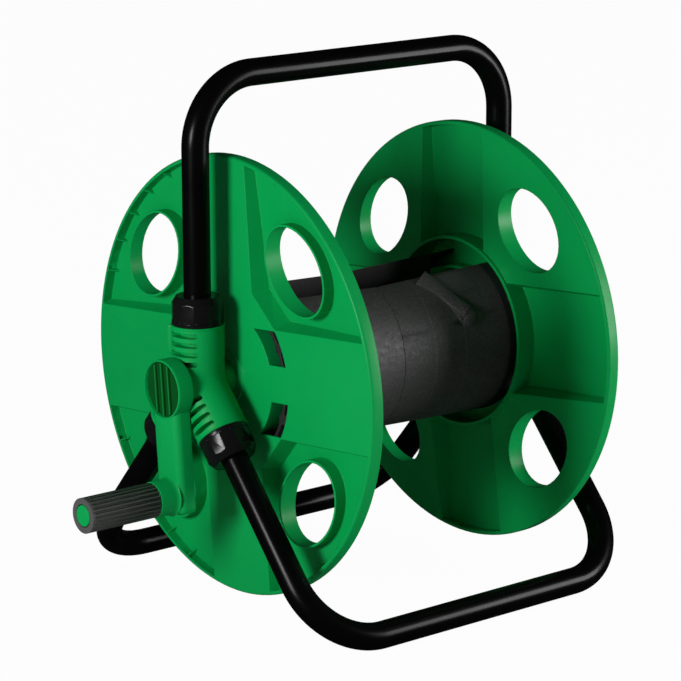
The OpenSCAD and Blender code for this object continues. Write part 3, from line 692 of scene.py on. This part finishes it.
class HOSEREEL_OT_finishes(bpy.types.Operator):
    """Give every carried-over piece its material"""

    bl_idname = "hose_reel.finishes"
    bl_label = "Finishes"

    def execute(self, context):
        MATERIALS.update(make_materials(context.scene.hose_reel_colours))
        for part in frame["record"]["subparts"]:
            give(frame["nodes"][part["node"]], MATERIALS[part["material_slot"]])
        return {"FINISHED"}


class HOSEREEL_OT_discs(bpy.types.Operator):
    """Round the edges of the two discs"""

    bl_idname = "hose_reel.discs"
    bl_label = "Discs"

    def execute(self, context):
        sizes = context.scene.hose_reel_sizes
        dress(DISCS, sizes.disc_edge, sizes.segments)
        return {"FINISHED"}


class HOSEREEL_OT_brackets(bpy.types.Operator):
    """Model the blended brackets, round the collars' edges and smooth the tubes"""

    bl_idname = "hose_reel.brackets"
    bl_label = "Brackets, collars and tubes"

    def execute(self, context):
        sizes = context.scene.hose_reel_sizes
        for side, node in ((-1, "crank_side_bracket"), (1, "inlet_side_bracket")):
            stand_for(add_piece(f"{node}_dressed", bracket(side)), node)
        dress(COLLARS, sizes.collar_edge, sizes.segments)
        dress(TUBES, 0, 1)
        return {"FINISHED"}


class HOSEREEL_OT_drum(bpy.types.Operator):
    """Round the edges of the drum's halves"""

    bl_idname = "hose_reel.drum"
    bl_label = "Drum"

    def execute(self, context):
        sizes = context.scene.hose_reel_sizes
        dress(DRUM_HALVES, sizes.drum_edge, sizes.segments)
        return {"FINISHED"}


def shortened_grip():
    """The grip without the stretch that the arm's boss takes up."""
    grip = rounded_copy("grip", 0, 1)
    shape = bmesh.new()
    shape.from_mesh(grip.data)
    bpy.data.objects.remove(grip)
    cut = bmesh.ops.bisect_plane(
        shape, geom=[*shape.verts, *shape.edges, *shape.faces], dist=JOIN * MM,
        plane_co=(AXLE.x - GRIP_IN * MM, 0, 0), plane_no=(1, 0, 0), clear_outer=True)["geom_cut"]
    edges = [item for item in cut if isinstance(item, bmesh.types.BMEdge)]
    bmesh.ops.triangle_fill(shape, use_beauty=True, edges=edges)
    bmesh.ops.recalc_face_normals(shape, faces=shape.faces)
    return add_piece("grip_dressed", shape)


def bar(shape, width, length, middle, low, high, edge):
    """Adds a bar along Y between two heights, its front and its lower end rounded."""
    made = block(shape, Matrix.Identity(4), (width, length, high - low),
                 (0, middle, (low + high) / 2))
    top, end = (high - ON_FACE) * MM, (middle - length / 2 + ON_FACE) * MM
    rounded = []
    for line in {line for vert in made for line in vert.link_edges}:
        heights = [vert.co.z for vert in line.verts]
        places = [vert.co.y for vert in line.verts]
        front, lower = min(heights) > top, max(places) < end
        if (front and min(places) < end) or (lower and max(heights) > top):
            rounded.append(line)
    bmesh.ops.bevel(shape, geom=rounded, offset=edge * MM, offset_type="OFFSET",
                    segments=EDGE_STEPS, profile=0.5, affect="EDGES", material=-1)


class HOSEREEL_OT_crank(bpy.types.Operator):
    """Model the crank with its rounded arm, round its cap and the grip's pin, and shorten the grip"""

    bl_idname = "hose_reel.crank"
    bl_label = "Crank"

    def execute(self, context):
        sizes = context.scene.hose_reel_sizes
        hub = bmesh.new()
        rod(hub, Matrix.Identity(4), HUB_CUT_R, CRANK_BACK - OVERLAP, CRANK_FRONT)
        length = CRANK_RADIUS / MM + BOSS_R
        shape = bmesh.new()
        bar(shape, ARM_WIDTH, length, -length / 2, CRANK_BACK, ARM_FRONT, ARM_EDGE)
        shape = cut_away(shape, hub)
        bar(shape, SQUARE, SQUARE, 0, SQUARE_END, SPINDLE_END + OVERLAP, SQUARE_EDGE)
        lathe(shape, HUB_PROFILE)
        lathe(shape, SPINDLE_PROFILE)
        lathe(shape, BOSS_PROFILE, centre=(0, -CRANK_RADIUS))
        lathe(shape, BOSS_FILLET, centre=(0, -CRANK_RADIUS))
        set_in_place(shape, crank_side())
        stand_for(add_piece("crank_arm_dressed", shape), "crank_arm")
        dress(("dial_cap",), sizes.cap_edge, sizes.segments)
        dress(("grip_pin",), sizes.pin_edge, sizes.segments)
        stand_for(shortened_grip(), "grip")
        return {"FINISHED"}


def softbox(name, direction, distance, size, power):
    """A square lamp that faces the reel from a direction."""
    data = bpy.data.lights.new(name, "AREA")
    data.shape = "SQUARE"
    data.size = size
    data.energy = power
    lamp = bpy.data.objects.new(name, data)
    bpy.context.scene.collection.objects.link(lamp)
    place = MIDDLE + direction.normalized() * distance
    turn = (MIDDLE - place).to_track_quat("-Z", "Y")
    lamp.matrix_world = Matrix.Translation(place) @ turn.to_matrix().to_4x4()


def by_ray(tree, seen, unseen, ray="Is Camera Ray"):
    """Mixes two shaders by the kind of ray."""
    path = tree.nodes.new("ShaderNodeLightPath")
    mix = tree.nodes.new("ShaderNodeMixShader")
    tree.links.new(path.outputs[ray], mix.inputs["Fac"])
    tree.links.new(unseen, mix.inputs[1])
    tree.links.new(seen, mix.inputs[2])
    return mix.outputs["Shader"]


def pale_world():
    """White to the camera, a dim even light to everything else."""
    world = bpy.data.worlds.new("pale_world")
    world.use_nodes = True
    tree = world.node_tree
    room = tree.nodes["Background"]
    room.inputs["Color"].default_value = (1, 1, 1, 1)
    room.inputs["Strength"].default_value = ROOM_LIGHT
    white = tree.nodes.new("ShaderNodeBackground")
    white.inputs["Strength"].default_value = 1.0
    dark = tree.nodes.new("ShaderNodeBackground")
    dark.inputs["Strength"].default_value = GLOSSY_ROOM
    around = by_ray(tree, dark.outputs["Background"], room.outputs["Background"], "Is Glossy Ray")
    out = by_ray(tree, white.outputs["Background"], around)
    tree.links.new(out, tree.nodes["World Output"].inputs["Surface"])
    bpy.context.scene.world = world


def pale_floor():
    """A wide pale floor that keeps a faint shadow."""
    shape = bmesh.new()
    bmesh.ops.create_grid(shape, x_segments=1, y_segments=1, size=FLOOR_HALF)
    mesh = bpy.data.meshes.new("floor")
    shape.to_mesh(mesh)
    shape.free()
    floor = bpy.data.objects.new("floor", mesh)
    bpy.context.scene.collection.objects.link(floor)
    material = bpy.data.materials.new("pale_floor")
    material.use_nodes = True
    tree = material.node_tree
    surface = tree.nodes["Principled BSDF"]
    surface.inputs["Base Color"].default_value = (FLOOR_GREY, FLOOR_GREY, FLOOR_GREY, 1)
    surface.inputs["Roughness"].default_value = 0.9
    surface.inputs["Specular IOR Level"].default_value = 0.0
    white = tree.nodes.new("ShaderNodeEmission")
    white.inputs["Strength"].default_value = 1.0
    soften = tree.nodes.new("ShaderNodeMixShader")
    soften.inputs["Fac"].default_value = FLOOR_WHITE
    tree.links.new(surface.outputs["BSDF"], soften.inputs[1])
    tree.links.new(white.outputs["Emission"], soften.inputs[2])
    dark = tree.nodes.new("ShaderNodeEmission")
    dark.inputs["Strength"].default_value = GLOSSY_ROOM
    around = by_ray(tree, dark.outputs["Emission"], surface.outputs["BSDF"], "Is Glossy Ray")
    out = by_ray(tree, soften.outputs["Shader"], around)
    tree.links.new(out, tree.nodes["Material Output"].inputs["Surface"])
    mesh.materials.append(material)


class HOSEREEL_OT_stage(bpy.types.Operator):
    """Set the pale floor, the soft lamps and the camera"""

    bl_idname = "hose_reel.stage"
    bl_label = "Stage"

    def execute(self, context):
        stage = context.scene.hose_reel_stage
        back = Vector((sin(stage.azimuth) * cos(stage.elevation),
                       -cos(stage.azimuth) * cos(stage.elevation), sin(stage.elevation)))
        level = Vector((cos(stage.azimuth), sin(stage.azimuth), 0))
        upright = back.cross(level)
        right = level * cos(stage.roll) + upright * sin(stage.roll)
        up = upright * cos(stage.roll) - level * sin(stage.roll)
        centre = Vector((AXLE.x - FACE, 0, AXLE.z))
        place = centre + back * stage.distance + right * stage.aside + up * stage.above
        data = bpy.data.cameras.new("camera")
        data.lens = stage.lens
        data.sensor_width = SENSOR
        data.clip_end = CLIP_END
        camera = bpy.data.objects.new("camera", data)
        context.scene.collection.objects.link(camera)
        turn = Matrix((right, up, back)).transposed()
        camera.matrix_world = Matrix.Translation(place) @ turn.to_4x4()
        context.scene.camera = camera
        for name, (shares, distance, size, power) in LAMPS.items():
            direction = back * shares[0] + level * shares[1] + upright * shares[2]
            softbox(name, direction, distance, size, power)
        pale_world()
        pale_floor()
        context.scene.view_settings.view_transform = "Standard"
        return {"FINISHED"}


class HOSEREEL_PT_panel(bpy.types.Panel):
    """Lists what can be built"""

    bl_idname = "HOSEREEL_PT_panel"
    bl_label = "Hose Reel"
    bl_space_type = "VIEW_3D"
    bl_region_type = "UI"
    bl_category = "Hose Reel"

    def draw(self, context):
        for operator in OPERATORS:
            self.layout.operator(operator.bl_idname)
        for group in (context.scene.hose_reel_colours, context.scene.hose_reel_sizes,
                      context.scene.hose_reel_stage):
            box = self.layout.box()
            for name in group.bl_rna.properties.keys():
                if name not in ("rna_type", "name"):
                    box.prop(group, name)


OPERATORS = (HOSEREEL_OT_finishes, HOSEREEL_OT_discs, HOSEREEL_OT_brackets, HOSEREEL_OT_drum,
             HOSEREEL_OT_crank, HOSEREEL_OT_stage)
GROUPS = (HoseReelColours, HoseReelSizes, HoseReelStage)
CLASSES = (*GROUPS, *OPERATORS, HOSEREEL_PT_panel)


def register():
    for cls in CLASSES:
        bpy.utils.register_class(cls)
    bpy.types.Scene.hose_reel_colours = PointerProperty(type=HoseReelColours)
    bpy.types.Scene.hose_reel_sizes = PointerProperty(type=HoseReelSizes)
    bpy.types.Scene.hose_reel_stage = PointerProperty(type=HoseReelStage)


def unregister():
    del bpy.types.Scene.hose_reel_stage
    del bpy.types.Scene.hose_reel_sizes
    del bpy.types.Scene.hose_reel_colours
    for cls in reversed(CLASSES):
        bpy.utils.unregister_class(cls)


def main():
    register()
    for operator in OPERATORS:
        group, name = operator.bl_idname.split(".")
        getattr(getattr(bpy.ops, group), name)()


if __name__ == "__main__":
    main()
